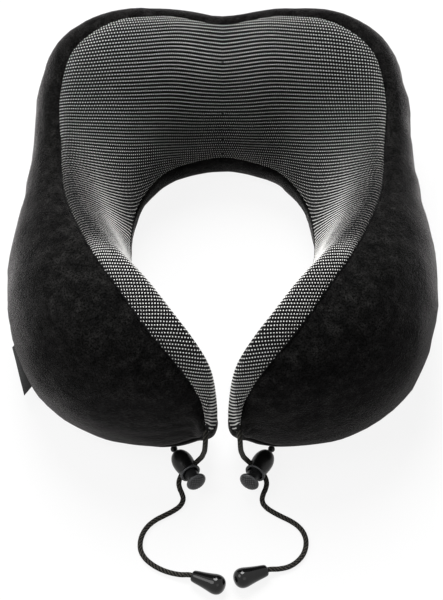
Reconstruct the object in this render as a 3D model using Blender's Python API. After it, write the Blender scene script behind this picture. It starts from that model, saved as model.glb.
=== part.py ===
# A travel neck pillow: a U of memory foam in a cover of dotted knit and plush, with a zip across the
# lower back, a label sewn into the left side, and two short cords that carry a spring lock and a bell end.
# Metres, +Z up. The pillow lies on its base; the opening for the neck faces -Y, and +X is its right side
# as seen from the opening. The origin is under the middle of the pillow, on the surface it lies on.
import math

import bpy
import bmesh
import numpy as np
from mathutils import Matrix, Vector

MM = 0.001

# Cushion: one half, from the middle of the back (first line) round to the tip of the arm (last line), in mm.
# inner foot x y, widest outer point x y and its height, crest (share of the way across, height),
# upper seam (share of the way across, height), how far the outer wall tucks in under itself,
# height of the base
STATIONS = [
    (0.0, 86.5, 0, 160, 78, .70, 107, .81, 105, 12, 0),
    (20, 82.5, 44, 161.5, 78, .69, 117, .80, 115, 14, 0),
    (37.5, 75, 84, 160, 76, .70, 115, .79, 112, 13, 0),
    (49.5, 62, 112, 144, 70, .69, 104, .80, 101, 12, 0),
    (57, 47, 123, 116, 62, .66, 94, .77, 91, 13, 0),
    (61, 28, 125.5, 76, 58, .60, 91, .70, 88, 14, 0),
    (61, 8, 131, 32, 56, .48, 102, .59, 98, 15, 0),
    (56.5, -12, 138, -12, 56, .34, 120, .44, 114, 17, 0),
    (48, -36, 135.5, -54, 52, .23, 134, .36, 126, 19, 0),
    (36, -57, 119.5, -91, 45, .16, 137, .33, 128, 22, 0),
    (23, -77, 96, -111, 40, .14, 132, .35, 121, 26, 0),
    (11, -94, 63, -122, 36, .13, 121, .40, 107, 26, 0),
    (3.5, -105, 33, -124.5, 38, .14, 104, .56, 88, 15, 9),
    (3.5, -112, 17, -121.5, 44, .35, 84, .72, 68, 6, 22),
]
ORIGIN_Y = 18.0            # the pillow's middle, front to back, in the table above
LOWER_SEAM = 30.0          # height of the seam round the neck opening
SEAM_RISE = 12.0           # least height of that seam over the base
INNER_WALL = [(.115, .35), (.34, .66), (.80, .96)]   # shares of crest offset and height, seam to crest
NOSE = (10.6, -117.0, 50.0)                          # middle of the rounded end of an arm
NOSE_REACH = 9.5
NOSE_OPEN = 68             # degrees of the rounded end that the cover follows; the cord leaves inside it

SKIN = 1.2                 # cover thickness
GAP = 0.35                 # running clearance between the cover and the foam
SEAM = 0.2                 # half the gap left at each seam

# Zip across the lower back
ZIP_HALF = 60.0
ZIP_Y = 156.0              # outer face of the tapes
ZIP_Z = 25.0
TAPE_W = 6.6
TAPE_T = 0.8
CLEAR = 0.3                # running clearance of the coil, the stops and the slider
POCKET_SIDE = 0.6          # the cover's opening beyond the tapes
COIL_R = 1.4
STOP_L, STOP_H, STOP_OUT = 3.0, 4.4, 3.1
SLIDER_X = ZIP_HALF - 10.0  # closed; it runs to the same place on the other side
SLIDER_L = 8.4
CLIP_R = COIL_R + CLEAR    # the slider's hollow round the coil
CLIP_OPEN = 40             # degrees that the hollow stops short of half a turn
CLIP_BACK = [(-3.1, -1.09), (-3.1, 1.5), (-1.9, 2.7), (1.9, 2.7), (3.1, 1.5), (3.1, -1.09)]
EAR_X, EAR_FROM, EAR_IN, EAR_OUT = 1.7, 2.3, 1.5, 2.4
PIN_Y, PIN_R = 4.5, 0.6    # the pull's pin above the coil's axis
PULL_R, PULL_HALF, PULL_T = 1.75, 1.15, 1.08
PULL_TURN = 162            # degrees to each side that the pull's round end reaches
PULL_BORE = PIN_R + .35
PULL_NECK = 5.5
PULL_LEAF = [(-4.5, -1.15), (-5.8, -2.9), (-19, -3.3), (-20.8, -2.4), (-21.6, 0),
             (-20.8, 2.4), (-19, 3.3), (-5.8, 2.9), (-4.5, 1.15)]

# Label, sewn in at the side seam of the left arm, its free edge straight
LABEL_Y = (-41, -74)
LABEL_FREE = ((-138.5, -47.2, 10.5), (-129.4, -82.2, 10.5))
LABEL_T = 0.8
LABEL_OFF = 0.55           # from the seam to the label's own edge

# Cords and what is on them
CORD_D = 3.4
CORD_STEP = 4.6            # between points along the cord
LOCK_AT = (-22.4, -134.2)  # where the left cord crosses the axis of its lock
LOCK_DIR = (.478, -.878)   # from the lock's nub to its button, seen from above
LOCK_RISE = 16             # degrees; the cord holds the button end up, and the barrel's belly lies down
LOCK_ROLL = 22             # degrees that the cord's way through the lock slopes down
LOCK_Z = 9.2
CROSS_AT = 19.8            # from the nub to the cord
LOCK_TRAVEL = 4.0
BORE_R = 2.3               # cross hole in the barrel
SLOT_HALF = 2.1            # slot through the plunger
BORE_HALF = 9.0            # the cutting shapes reach past the lock on both sides
THROUGH = (-5.2, -2.6, 0, 2.4, 4.6)         # where the cord's route is held inside the lock
IN_BELL = (-.8, 4, 8.4)    # and inside the bell end

# Cord locks: a barrel with a cross hole, and a slotted plunger that a spring pushes out against the cord
BARREL = [(0, -2.3), (1.6, -1.7), (2.3, 0), (1.7, 1.6), (1.9, 3.2), (4.5, 5.3), (6.1, 8.4), (6.8, 12.2),
          (6.7, 15.6), (6.3, 19.4), (6.1, 21.8), (6.7, 22.7), (6.75, 24.0), (5.6, 24.0), (4.9, 23.1),
          (4.9, 8.8), (3.9, 8.0), (0, 8.0)]
PLUNGER = [(0, 15.2), (4.0, 15.2), (4.5, 15.7), (4.5, 29.9), (5.6, 30.3), (6.5, 31.0), (6.65, 31.7),
           (6.3, 32.5), (5.0, 33.5), (3.0, 34.3), (0, 34.6)]
SPRING = (3.9, 0.35, 8.4, 14.8, 4)          # radius to the wire's outside, wire radius, start, end, turns
BELL = [(0, 9.0), (2.05, 9.0), (2.05, 0), (2.9, 0), (3.7, .8), (4.2, 3.4), (4.85, 7.6), (5.8, 12.4), (6.4, 15.2),
        (6.5, 16.8), (6.1, 19.0), (4.9, 20.85), (2.9, 22.1), (0, 22.5)]
# Route of the left cord in the table's millimetres: out of the arm's tip, through the lock, over the
# surface in a loose curve, and into the bell
CORD_TIP = [(-10.6, -125.3, 50), (-10.7, -128.0, 49.8), (-10.8, -130.5, 48.7), (-11.0, -132.6, 45.7),
            (-11.2, -133.1, 41.0), (-11.6, -132.5, 34), (-12.6, -131.1, 25.5), (-13.6, -129.9, 18.6),
            (-15.5, -129.8, 14.0)]
CORD_LAID = {
    "left": [(-27.5, -139.0, 6.0), (-28.2, -141.9, 4.7), (-27.5, -145.2, 3.3), (-26.2, -148.1, 2.3),
             (-25.4, -151.1, 1.75), (-26.0, -154.2, 1.75), (-27.7, -156.8, 1.75), (-31.4, -159.7, 1.75),
             (-37.2, -163.0, 1.75), (-43.1, -166.4, 1.75), (-47.9, -170.7, 1.75), (-51.1, -176.1, 1.75),
             (-52.4, -181.6, 1.75), (-52.0, -187.0, 1.75), (-49.5, -191.9, 1.75), (-45.3, -196.0, 1.75),
             (-39.7, -199.5, 1.75), (-33.3, -202.0, 1.8), (-27.0, -203.6, 2.6)],
    "right": [(27.5, -139.0, 6.0), (28.2, -141.9, 4.7), (27.5, -145.2, 3.3), (26.1, -148.3, 2.3),
              (25.3, -151.6, 1.75), (25.9, -154.8, 1.75), (28.0, -157.6, 1.75), (32.5, -160.9, 1.75),
              (37.9, -164.0, 1.75), (43.3, -166.9, 1.75), (47.9, -170.3, 1.75), (51.2, -174.6, 1.75),
              (52.8, -179.4, 1.75), (52.7, -184.6, 1.75), (50.8, -190.0, 1.75), (47.0, -194.6, 1.75),
              (42.0, -197.9, 1.75), (36.0, -199.6, 2.2)],
}
BELL_AT = {
    "left": ((-19.2, -204.9, 4.25), (.911, -.412, .142)),
    "right": ((27.9, -201.2, 4.25), (-.928, -.373, .142)),
}


def to_row(p):
    """From millimetres in the table above to metres about the origin."""
    return Vector((p[0] * MM, (p[1] - ORIGIN_Y) * MM, p[2] * MM))


def material(name, color, rough, metal=0.0):
    m = bpy.data.materials.new(name)
    m.use_nodes = True
    b = m.node_tree.nodes["Principled BSDF"]
    b.inputs["Base Color"].default_value = (*color, 1)
    b.inputs["Roughness"].default_value = rough
    b.inputs["Metallic"].default_value = metal
    return m


def add_mesh(name, verts, faces, mat, smooth=True, scale=MM):
    me = bpy.data.meshes.new(name)
    me.from_pydata([tuple(c * scale for c in v) for v in verts], [], faces)
    bm = bmesh.new()
    bm.from_mesh(me)
    bmesh.ops.recalc_face_normals(bm, faces=bm.faces)
    bm.to_mesh(me)
    bm.free()
    if smooth:
        me.shade_smooth()
        me.set_sharp_from_angle(angle=math.radians(40))
    me.materials.append(mat)
    ob = bpy.data.objects.new(name, me)
    bpy.context.scene.collection.objects.link(ob)
    return ob


def cutter(name, ob):
    ob.name = name
    ob.hide_render = True
    ob.display_type = "WIRE"
    return ob


def combine(ob, tool, operation="DIFFERENCE"):
    """A boolean of ob with a hidden shape."""
    m = ob.modifiers.new(tool.name, "BOOLEAN")
    m.operation = operation
    m.object = tool
    m.solver = "EXACT"


# The cushion's form


def section(st):
    """The outline across one station, from the inner edge of the base, over the top, to its outer edge."""
    ix, iy, ox, oy, zo, c, zc, s, zs, tuck, zb = st
    w = math.hypot(ox - ix, oy - iy)
    inn = min(11.0, .24 * w)
    pts = [(inn / w, zb), (.18 * inn / w, zb + .42 * (LOWER_SEAM - zb)), (0, max(LOWER_SEAM, zb + SEAM_RISE))]
    for a, b in INNER_WALL:
        pts.append((c * a, pts[2][1] + (zc - pts[2][1]) * b))
    pts.append((c, zc))
    pts.append((s, zs))
    pts.append((s + (1 - s) * .42, zo + (zs - zo) * .90))
    pts.append((s + (1 - s) * .78, zo + (zs - zo) * .63))
    pts.append((1.0, zo))
    pts.append((1 - .32 * tuck / w, zb + .29 * (zo - zb)))
    pts.append((1 - min(tuck, .45 * w) / w, zb))
    return [(ix + (ox - ix) * f, iy + (oy - iy) * f, z) for f, z in pts]


RAIL = {"lower_seam": 2, "upper_seam": 7, "side_seam": 11, "outer_edge": 12}


def smooth_rows(P, n):
    """A smooth curve through the rows of P along its first axis, with n steps in each span."""
    P = np.asarray(P, float)
    d = np.maximum(np.linalg.norm(np.diff(P, axis=0), axis=-1), 1e-6)[..., None]
    T = np.zeros_like(P)
    T[1:-1] = ((P[1:-1] - P[:-2]) / d[:-1] * d[1:] + (P[2:] - P[1:-1]) / d[1:] * d[:-1]) / (d[:-1] + d[1:])
    T[0] = (P[1] - P[0]) / d[0]
    T[-1] = (P[-1] - P[-2]) / d[-1]
    out = []
    for i in range(len(P) - 1):
        for k in range(n):
            t = k / n
            out.append((2 * t**3 - 3 * t * t + 1) * P[i] + (t**3 - 2 * t * t + t) * d[i] * T[i]
                       + (3 * t * t - 2 * t**3) * P[i + 1] + (t**3 - t * t) * d[i] * T[i + 1])
    out.append(P[-1])
    return np.array(out)


def cushion_grid(along, around, cap):
    """Outer surface as rows from the left tip to the right tip; each row runs round the section."""
    G = np.array([section(s) for s in STATIONS])
    side, edge = RAIL["side_seam"], RAIL["outer_edge"]
    G[:3, side, 1], G[:3, side, 2] = ZIP_Y, ZIP_Z       # the lower back is straight where the zip is
    G[:3, edge, 1] = 148.0
    left = G[1:3][::-1] * np.array([-1, 1, 1])
    half = smooth_rows(np.concatenate([left, G]), along)[2 * along:]
    half[0, :, 0] = 0
    ring = np.swapaxes(smooth_rows(np.swapaxes(half, 0, 1), around), 0, 1)
    ring[..., 2] = np.maximum(ring[..., 2], 0)
    c, last, caps = np.array(NOSE), ring[-1], []
    for k in range(1, cap + 1):
        a = math.radians(NOSE_OPEN) * k / cap
        shrink = np.array([math.cos(a), math.cos(a)**2, math.cos(a)])   # the slanted end turns to face -Y
        caps.append(c + (last - c) * shrink + np.array([0, -NOSE_REACH * math.sin(a), 0]))
    half = np.concatenate([ring, caps])
    return np.concatenate([half[:0:-1] * np.array([-1, 1, 1]), half])


def normals(S):
    """Unit outward normals of the closed rings, with the base's own edges kept level."""
    dv = np.roll(S, -1, axis=1) - np.roll(S, 1, axis=1)
    du = np.gradient(S, axis=0)
    N = np.cross(du, dv)
    N /= np.maximum(np.linalg.norm(N, axis=-1, keepdims=True), 1e-9)
    mid = S.mean(axis=1, keepdims=True)
    if ((S - mid) * N).sum() < 0:
        N = -N
    return N


def inset(S, N, d):
    """The surface moved inwards by d, with its base kept flat."""
    Q = S - N * d
    flat = S[..., 2] < 1e-6
    Q[..., 2] = np.where(flat, S[..., 2] + d, np.maximum(Q[..., 2], d))
    return Q


def halves(a, b, c, d):
    """A four-sided patch as two triangles, split the same way in the foam and in the cover."""
    return [(a, b, c), (a, c, d)]


def solid_ring(name, Q, tip, mat):
    """A closed solid from rings, with a point at each end."""
    n, m = Q.shape[:2]
    verts = [tuple(p) for p in Q.reshape(-1, 3)]
    faces = []
    for i in range(n - 1):
        for j in range(m):
            faces += halves(i * m + j, (i + 1) * m + j, (i + 1) * m + (j + 1) % m, i * m + (j + 1) % m)
    for row, x in ((0, -tip[0]), (n - 1, tip[0])):
        verts.append((x, tip[1], tip[2]))
        k = len(verts) - 1
        faces += [(row * m + j, row * m + (j + 1) % m, k) for j in range(m)]
    return add_mesh(name, verts, faces, mat)


def panel(name, S, N, cols, mat):
    """A sheet of the cover between two seams, with its own thickness."""
    A = S[:, cols].copy()
    B = inset(S, N, SKIN)[:, cols]
    for X in (A, B):                                     # step back from the seam on both edges
        for e, inner in ((0, 1), (-1, -2)):
            d = X[:, inner] - X[:, e]
            X[:, e] += d / np.linalg.norm(d, axis=-1, keepdims=True) * SEAM
    n, m = A.shape[:2]
    verts = [tuple(p) for p in A.reshape(-1, 3)] + [tuple(p) for p in B.reshape(-1, 3)]
    o = n * m
    faces = []
    for i in range(n - 1):
        for j in range(m - 1):
            q = halves(i * m + j, (i + 1) * m + j, (i + 1) * m + j + 1, i * m + j + 1)
            faces += q + [tuple(o + v for v in t[::-1]) for t in q]
        for j in (0, m - 1):
            faces.append((i * m + j, (i + 1) * m + j, o + (i + 1) * m + j, o + i * m + j))
    for i in (0, n - 1):
        for j in range(m - 1):
            faces.append((i * m + j, i * m + j + 1, o + i * m + j + 1, o + i * m + j))
    return add_mesh(name, verts, faces, mat)


def box(name, lo, hi, mat):
    v = [(x, y, z) for z in (lo[2], hi[2]) for y in (lo[1], hi[1]) for x in (lo[0], hi[0])]
    f = [(0, 1, 3, 2), (4, 6, 7, 5), (0, 4, 5, 1), (1, 5, 7, 3), (3, 7, 6, 2), (2, 6, 4, 0)]
    return add_mesh(name, v, f, mat, smooth=False)


def turned(name, profile, steps, mat):
    """A solid turned about local Z from a closed or axis-to-axis outline of (radius, height)."""
    verts, rings = [], []
    for r, z in profile:
        if r < 1e-6:
            rings.append([len(verts)])
            verts.append((0, 0, z))
        else:
            rings.append(list(range(len(verts), len(verts) + steps)))
            verts += [(r * math.cos(2 * math.pi * k / steps), r * math.sin(2 * math.pi * k / steps), z)
                      for k in range(steps)]
    faces = []
    for a, b in zip(rings, rings[1:]):
        for k in range(steps):
            q = [a[k % len(a)], a[(k + 1) % len(a)], b[(k + 1) % len(b)], b[k % len(b)]]
            q = list(dict.fromkeys(q))
            if len(q) > 2:
                faces.append(tuple(q))
    return add_mesh(name, verts, faces, mat)


def prism(name, outline, lo, hi, axis, mat, smooth=True):
    """An outline pulled from lo to hi along X, as (z, y) points, or along Z, as (x, y) points."""
    n = len(outline)
    if axis == "X":
        v = [(x, b, a) for x in (lo, hi) for a, b in outline]
    else:
        v = [(a, b, z) for z in (lo, hi) for a, b in outline]
    f = [tuple(range(n - 1, -1, -1)), tuple(range(n, 2 * n))]
    f += [(k, (k + 1) % n, n + (k + 1) % n, n + k) for k in range(n)]
    return add_mesh(name, v, f, mat, smooth)


def arc(radius, first, last, steps):
    """Points on a circle, from one angle in degrees to another."""
    angles = [math.radians(first + (last - first) * k / steps) for k in range(steps + 1)]
    return [(radius * math.cos(a), radius * math.sin(a)) for a in angles]


def bar(name, radius, half, steps, mat):
    """A round bar about local Z, as long to both sides."""
    return turned(name, [(0, -half), (radius, -half), (radius, half), (0, half)], steps, mat)


def columns(S, first, last):
    """The grid's columns from one rail to another, the way the rings run."""
    a, b = RAIL[first] * steps_around, RAIL[last] * steps_around
    return list(range(a, b + 1)) if b > a else list(range(a, S.shape[1])) + list(range(0, b + 1))


def cushion(S, N):
    """The foam and the three panels of its cover, with the opening for the zip."""
    tip = (NOSE[0], NOSE[1] - NOSE_REACH + SKIN + GAP - ORIGIN_Y, NOSE[2])
    core = solid_ring("foam_core", inset(S, N, SKIN + GAP), tip, foam)
    panel("top_panel", S, N, columns(S, "lower_seam", "upper_seam"), knit)
    outer = panel("outer_panel", S, N, columns(S, "upper_seam", "side_seam"), plush)
    base = panel("base_panel", S, N, columns(S, "side_seam", "lower_seam"), plush)
    x, y, z = ZIP_HALF + POCKET_SIDE, ZIP_Y - ORIGIN_Y, TAPE_W + POCKET_SIDE
    rearmost = max(ZIP_Y, *(outer_y for _, _, _, outer_y, *_ in STATIONS)) - ORIGIN_Y + 2 * SKIN
    inmost = y - TAPE_T - GAP
    pocket = cutter("zip_pocket", box("p", (-x, inmost, ZIP_Z - z), (x, rearmost, ZIP_Z + z), plush))
    for ob in (core, outer, base):
        combine(ob, pocket)


def zip_across():
    """Tapes, coil, stops, and the slider with its pull."""
    y = ZIP_Y - ORIGIN_Y
    for name, low, high in (("zip_tape_upper", SEAM, TAPE_W), ("zip_tape_lower", -TAPE_W, -SEAM)):
        box(name, (-ZIP_HALF, y - TAPE_T, ZIP_Z + low), (ZIP_HALF, y, ZIP_Z + high), ribbon)
    coil_y = ZIP_Y + CLEAR + COIL_R
    coil_end = ZIP_HALF - STOP_L - CLEAR
    coil = prism("zip_coil", arc(COIL_R, 0, 324, 9), -coil_end, coil_end, "X", nylon)
    coil.location = to_row((0, coil_y, ZIP_Z))
    for side, x in (("left", STOP_L / 2 - ZIP_HALF), ("right", ZIP_HALF - STOP_L / 2)):
        box("zip_stop_" + side, (x - STOP_L / 2, y + CLEAR, ZIP_Z - STOP_H / 2),
            (x + STOP_L / 2, y + CLEAR + STOP_OUT, ZIP_Z + STOP_H / 2), metal)

    clip = arc(CLIP_R, -CLIP_OPEN, 180 + CLIP_OPEN, 10) + CLIP_BACK
    slider = prism("zip_slider", clip, -SLIDER_L / 2, SLIDER_L / 2, "X", metal, False)
    slider.location = to_row((SLIDER_X, coil_y, ZIP_Z))
    for name, low, high in (("ear_a", EAR_IN, EAR_OUT), ("ear_b", -EAR_OUT, -EAR_IN)):
        ear = box(name, (-EAR_X, EAR_FROM, low), (EAR_X, PIN_Y + PIN_R + .7, high), metal)
        ear.parent = slider
        combine(slider, cutter("slider_" + name, ear), "UNION")
    pin = cutter("slider_pin", bar("pin", PIN_R, (EAR_IN + EAR_OUT) / 2, 10, metal))
    pin.location = (0, PIN_Y * MM, 0)
    pin.parent = slider
    combine(slider, pin, "UNION")

    eye = arc(PULL_R, -PULL_TURN, PULL_TURN, 12) + [(-PULL_NECK, PULL_T / 2), (-PULL_NECK, -PULL_T / 2)]
    pull = prism("zip_pull", eye, -PULL_HALF, PULL_HALF, "Z", metal)
    pull.location = to_row((SLIDER_X, coil_y + PIN_Y, ZIP_Z))
    plate = prism("plate", PULL_LEAF, -PULL_T / 2, PULL_T / 2, "Z", metal)
    plate.data.transform(Matrix.Rotation(math.radians(90), 4, "X"))
    hole = bar("hole", PULL_BORE, EAR_IN + .5, 12, metal)
    for tool, operation in ((plate, "UNION"), (hole, "DIFFERENCE")):
        tool.parent = pull
        combine(pull, cutter("pull_" + tool.name, tool), operation)


def side_label(S):
    """A bare ribbon from the side seam to a straight free edge."""
    shift = np.array([0, ORIGIN_Y, 0])
    seam = S[:S.shape[0] // 2, RAIL["side_seam"] * steps_around] + shift
    seam = seam[np.argsort(seam[:, 1])]
    spans = 4
    v = []
    for k in range(spans + 1):
        y = LABEL_Y[0] + (LABEL_Y[1] - LABEL_Y[0]) * k / spans
        root = np.array([np.interp(y, seam[:, 1], seam[:, i]) for i in range(3)])
        free = np.array(LABEL_FREE[0]) + (np.array(LABEL_FREE[1]) - np.array(LABEL_FREE[0])) * k / spans
        d = (free - root) / np.linalg.norm(free - root)
        up = np.array([0, 0, 1]) - d * d[2]
        up *= LABEL_T / np.linalg.norm(up)
        root = root + d * LABEL_OFF
        v += [tuple(q - shift) for q in (root, root + up, free + up, free)]
    last = 4 * spans
    f = [(0, 1, 2, 3), (last, last + 3, last + 2, last + 1)]
    for k in range(spans):
        f += [(4 * k + e, 4 * k + 4 + e, 4 * k + 4 + (e + 1) % 4, 4 * k + (e + 1) % 4) for e in range(4)]
    add_mesh("side_label", v, f, ribbon, smooth=False)


def coil_spring(name):
    """The lock's compression spring, about local Z."""
    r, w, z0, z1, turns = SPRING
    per_turn = 9
    count = turns * per_turn + 1
    cu = bpy.data.curves.new(name, "CURVE")
    cu.dimensions = "3D"
    cu.bevel_depth, cu.bevel_resolution, cu.use_fill_caps = w * MM, 1, True
    sp = cu.splines.new("POLY")
    sp.points.add(count - 1)
    for k, p in enumerate(sp.points):
        a = 2 * math.pi * k / per_turn
        z = z0 + (z1 - z0) * k / (count - 1)
        p.co = ((r - w) * math.cos(a) * MM, (r - w) * math.sin(a) * MM, z * MM, 1)
    cu.materials.append(steel)
    ob = bpy.data.objects.new(name, cu)
    bpy.context.scene.collection.objects.link(ob)
    return ob


def lock_frame(sx):
    """The cord's way through the lock, the lock's axis, and where they cross; sx is 1 left and -1 right."""
    rise, roll = math.radians(LOCK_RISE), math.radians(LOCK_ROLL)
    flat = Vector((LOCK_DIR[0] * sx, LOCK_DIR[1], 0)).normalized()
    lock_z = flat * math.cos(rise) + Vector((0, 0, math.sin(rise)))
    level = Vector((LOCK_DIR[1] * sx, -LOCK_DIR[0], 0)).normalized()
    lock_x = level * math.cos(roll) + lock_z.cross(level) * sx * math.sin(roll)
    return lock_x, lock_z, Vector((LOCK_AT[0] * sx, LOCK_AT[1], LOCK_Z))


def cord_lock(side, sx):
    """Barrel, plunger and spring, in a frame with Z along the lock's axis and X along the cord's way through."""
    lock_x, lock_z, cross = lock_frame(sx)
    turn = Matrix((lock_x, lock_z.cross(lock_x), lock_z)).transposed().to_4x4()
    turn.translation = to_row(cross - lock_z * CROSS_AT)
    lock = bpy.data.objects.new("lock_axis_" + side, None)
    bpy.context.scene.collection.objects.link(lock)
    lock.matrix_world = turn
    barrel = turned("lock_barrel_" + side, BARREL, 16, shell)
    bore = cutter("cross_hole_" + side, bar("b", BORE_R, BORE_HALF, 14, shell))
    bore.data.transform(Matrix.Rotation(math.radians(90), 4, "Y"))
    bore.location = (0, 0, CROSS_AT * MM)
    combine(barrel, bore)
    plunger = turned("lock_plunger_" + side, PLUNGER, 16, button)
    slot = cutter("slot_" + side, box("s", (-BORE_HALF, -SLOT_HALF, CROSS_AT - SLOT_HALF),
                                      (BORE_HALF, SLOT_HALF, CROSS_AT + SLOT_HALF + LOCK_TRAVEL), shell))
    combine(plunger, slot)
    for ob in (barrel, bore, plunger, slot, coil_spring("lock_spring_" + side)):
        ob.parent = lock


def bell_end(side):
    at, axis = BELL_AT[side]
    bell = turned("cord_end_" + side, BELL, 16, gloss)
    turn = Vector(axis).to_track_quat("Z", "Y").to_matrix().to_4x4()
    bell.matrix_world = Matrix.Translation(to_row(at)) @ turn


def drawcord(side, sx):
    """The cord, from inside the arm's tip, through its lock, to inside its bell end."""
    lock_x, lock_z, cross = lock_frame(sx)
    at, axis = (Vector(v) for v in BELL_AT[side])
    axis.normalize()
    route = [Vector((x * sx, y, z)) for x, y, z in CORD_TIP]
    route += [cross + lock_x * d for d in THROUGH]
    route += [Vector(p) for p in CORD_LAID[side]]
    route += [at + axis * d for d in IN_BELL]
    fine = smooth_rows(np.array([tuple(p) for p in route]), 12)
    run = np.concatenate([[0], np.cumsum(np.linalg.norm(np.diff(fine, axis=0), axis=1))])
    even = np.linspace(0, run[-1], int(round(run[-1] / CORD_STEP)) + 1)
    cu = bpy.data.curves.new("drawcord_" + side, "CURVE")
    cu.dimensions = "3D"
    cu.bevel_depth, cu.bevel_resolution, cu.use_fill_caps = CORD_D / 2 * MM, 2, True
    sp = cu.splines.new("POLY")
    sp.points.add(len(even) - 1)
    for p, t in zip(sp.points, even):
        p.co = (*to_row([np.interp(t, run, fine[:, i]) for i in range(3)]), 1)
    cu.materials.append(braid)
    bpy.context.scene.collection.objects.link(bpy.data.objects.new("drawcord_" + side, cu))


for ob in list(bpy.data.objects):
    bpy.data.objects.remove(ob, do_unlink=True)

foam = material("foam", (.72, .66, .52), .9)
knit = material("knit", (.33, .33, .32), .85)
plush = material("plush", (.012, .012, .013), .95)
ribbon = material("ribbon", (.01, .01, .01), .7)
nylon = material("nylon", (.015, .015, .016), .55)
metal = material("dark_metal", (.12, .12, .13), .35, .9)
braid = material("braid", (.014, .014, .015), .8)
shell = material("lock_plastic", (.016, .016, .017), .38)
button = material("button_plastic", (.018, .018, .019), .5)
steel = material("spring_steel", (.5, .5, .52), .3, 1.0)
gloss = material("gloss_plastic", (.01, .01, .011), .15)

steps_along, steps_around, steps_cap = 2, 2, 3
surface = cushion_grid(steps_along, steps_around, steps_cap) - np.array([0, ORIGIN_Y, 0])
cushion(surface, normals(surface))
zip_across()
side_label(surface)
for side, sx in (("left", 1), ("right", -1)):
    cord_lock(side, sx)
    bell_end(side)
    drawcord(side, sx)
bpy.context.view_layer.update()
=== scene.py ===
# The looks of a travel neck pillow: dotted knit over the crest and inner wall, black plush outside and
# below, a zip at the lower back, a bare label, and two braided cords with spring locks and bell ends.
import math

import bmesh
import bpy
import numpy as np
from mathutils import Matrix, Vector


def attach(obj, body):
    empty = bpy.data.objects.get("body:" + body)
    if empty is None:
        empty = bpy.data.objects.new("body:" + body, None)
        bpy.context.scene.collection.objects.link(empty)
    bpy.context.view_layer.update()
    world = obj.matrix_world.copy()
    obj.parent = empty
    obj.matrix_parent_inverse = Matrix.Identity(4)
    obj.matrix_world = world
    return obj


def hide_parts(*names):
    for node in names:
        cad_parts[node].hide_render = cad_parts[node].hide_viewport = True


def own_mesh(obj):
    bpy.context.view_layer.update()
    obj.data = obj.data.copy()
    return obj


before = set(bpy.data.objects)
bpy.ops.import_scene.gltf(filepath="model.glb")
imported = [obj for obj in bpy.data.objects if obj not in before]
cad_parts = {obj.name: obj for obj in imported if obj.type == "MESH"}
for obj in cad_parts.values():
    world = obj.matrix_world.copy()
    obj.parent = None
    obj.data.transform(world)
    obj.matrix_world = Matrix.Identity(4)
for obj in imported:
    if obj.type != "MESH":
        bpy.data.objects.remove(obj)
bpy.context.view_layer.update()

MM = 0.001
ORIGIN_Y = 18.0  # the part's origin on the construction's Y, in mm
scene = bpy.context.scene


def to_row(p):
    """From the construction's millimetres to metres about the part's origin."""
    return (p[0] * MM, (p[1] - ORIGIN_Y) * MM, p[2] * MM)


def linked(name, data):
    """A new object in the scene."""
    ob = bpy.data.objects.new(name, data)
    scene.collection.objects.link(ob)
    return ob


# Camera and light
ELEVATION = math.radians(62)
TARGET = Vector((-0.0008, -0.048, 0.045))
DISTANCE = 1.5
FOCAL_LENGTH, SENSOR_WIDTH = 138.5, 36
LAMPS = {  # place and diameter in metres, power in watts
    "key": ((-.15, 1.0, 1.5), 1.1, 47),
    "left": ((-1.1, -.1, 1.3), 1.0, 11),
    "front": ((.5, -1.0, 1.4), 1.0, 2.0),
}
LIT_POINT = Vector((0, 0, .05))
FILL_LIGHT = .18  # even light on the object; the background is 1
FLOOR_WHITE = .88  # share of plain white in the floor as it is seen


def add_camera():
    camera = bpy.data.cameras.new("camera")
    camera.lens, camera.sensor_width = FOCAL_LENGTH, SENSOR_WIDTH
    ob = linked("camera", camera)
    ob.location = TARGET + Vector((0, -math.cos(ELEVATION), math.sin(ELEVATION))) * DISTANCE
    ob.rotation_euler = (math.radians(90) - ELEVATION, 0, 0)
    scene.camera = ob
    scene.view_settings.view_transform = "Standard"


def add_lamp(name, place, size, power):
    lamp = bpy.data.lights.new(name, "AREA")
    lamp.shape, lamp.size, lamp.energy = "DISK", size, power
    ob = linked(name, lamp)
    ob.location = place
    ob.rotation_euler = (LIT_POINT - Vector(place)).to_track_quat("-Z", "Y").to_euler()


def background_rays(tree, share):
    """The share for rays from the camera, from glossy surfaces and through glass, and 0 for all others."""
    path = tree.nodes.new("ShaderNodeLightPath")
    total = path.outputs["Is Camera Ray"]
    for ray in ("Is Glossy Ray", "Is Transmission Ray"):
        either = tree.nodes.new("ShaderNodeMath")
        either.operation = "MAXIMUM"
        tree.links.new(total, either.inputs[0])
        tree.links.new(path.outputs[ray], either.inputs[1])
        total = either.outputs[0]
    scaled = tree.nodes.new("ShaderNodeMath")
    scaled.operation = "MULTIPLY"
    tree.links.new(total, scaled.inputs[0])
    scaled.inputs[1].default_value = share
    return scaled.outputs[0]


def add_world():
    """White as a background, and a weak even light on the object."""
    world = bpy.data.worlds.new("studio")
    scene.world = world
    world.use_nodes = True
    tree = world.node_tree
    tree.nodes.clear()
    mix = tree.nodes.new("ShaderNodeMixShader")
    tree.links.new(background_rays(tree, 1.0), mix.inputs[0])
    for socket, strength in ((1, FILL_LIGHT), (2, 1.0)):
        light = tree.nodes.new("ShaderNodeBackground")
        light.inputs["Color"].default_value = (1, 1, 1, 1)
        light.inputs["Strength"].default_value = strength
        tree.links.new(light.outputs[0], mix.inputs[socket])
    tree.links.new(mix.outputs[0], tree.nodes.new("ShaderNodeOutputWorld").inputs[0])


add_camera()
for lamp_name, lamp_values in LAMPS.items():
    add_lamp(lamp_name, *lamp_values)
add_world()


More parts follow.
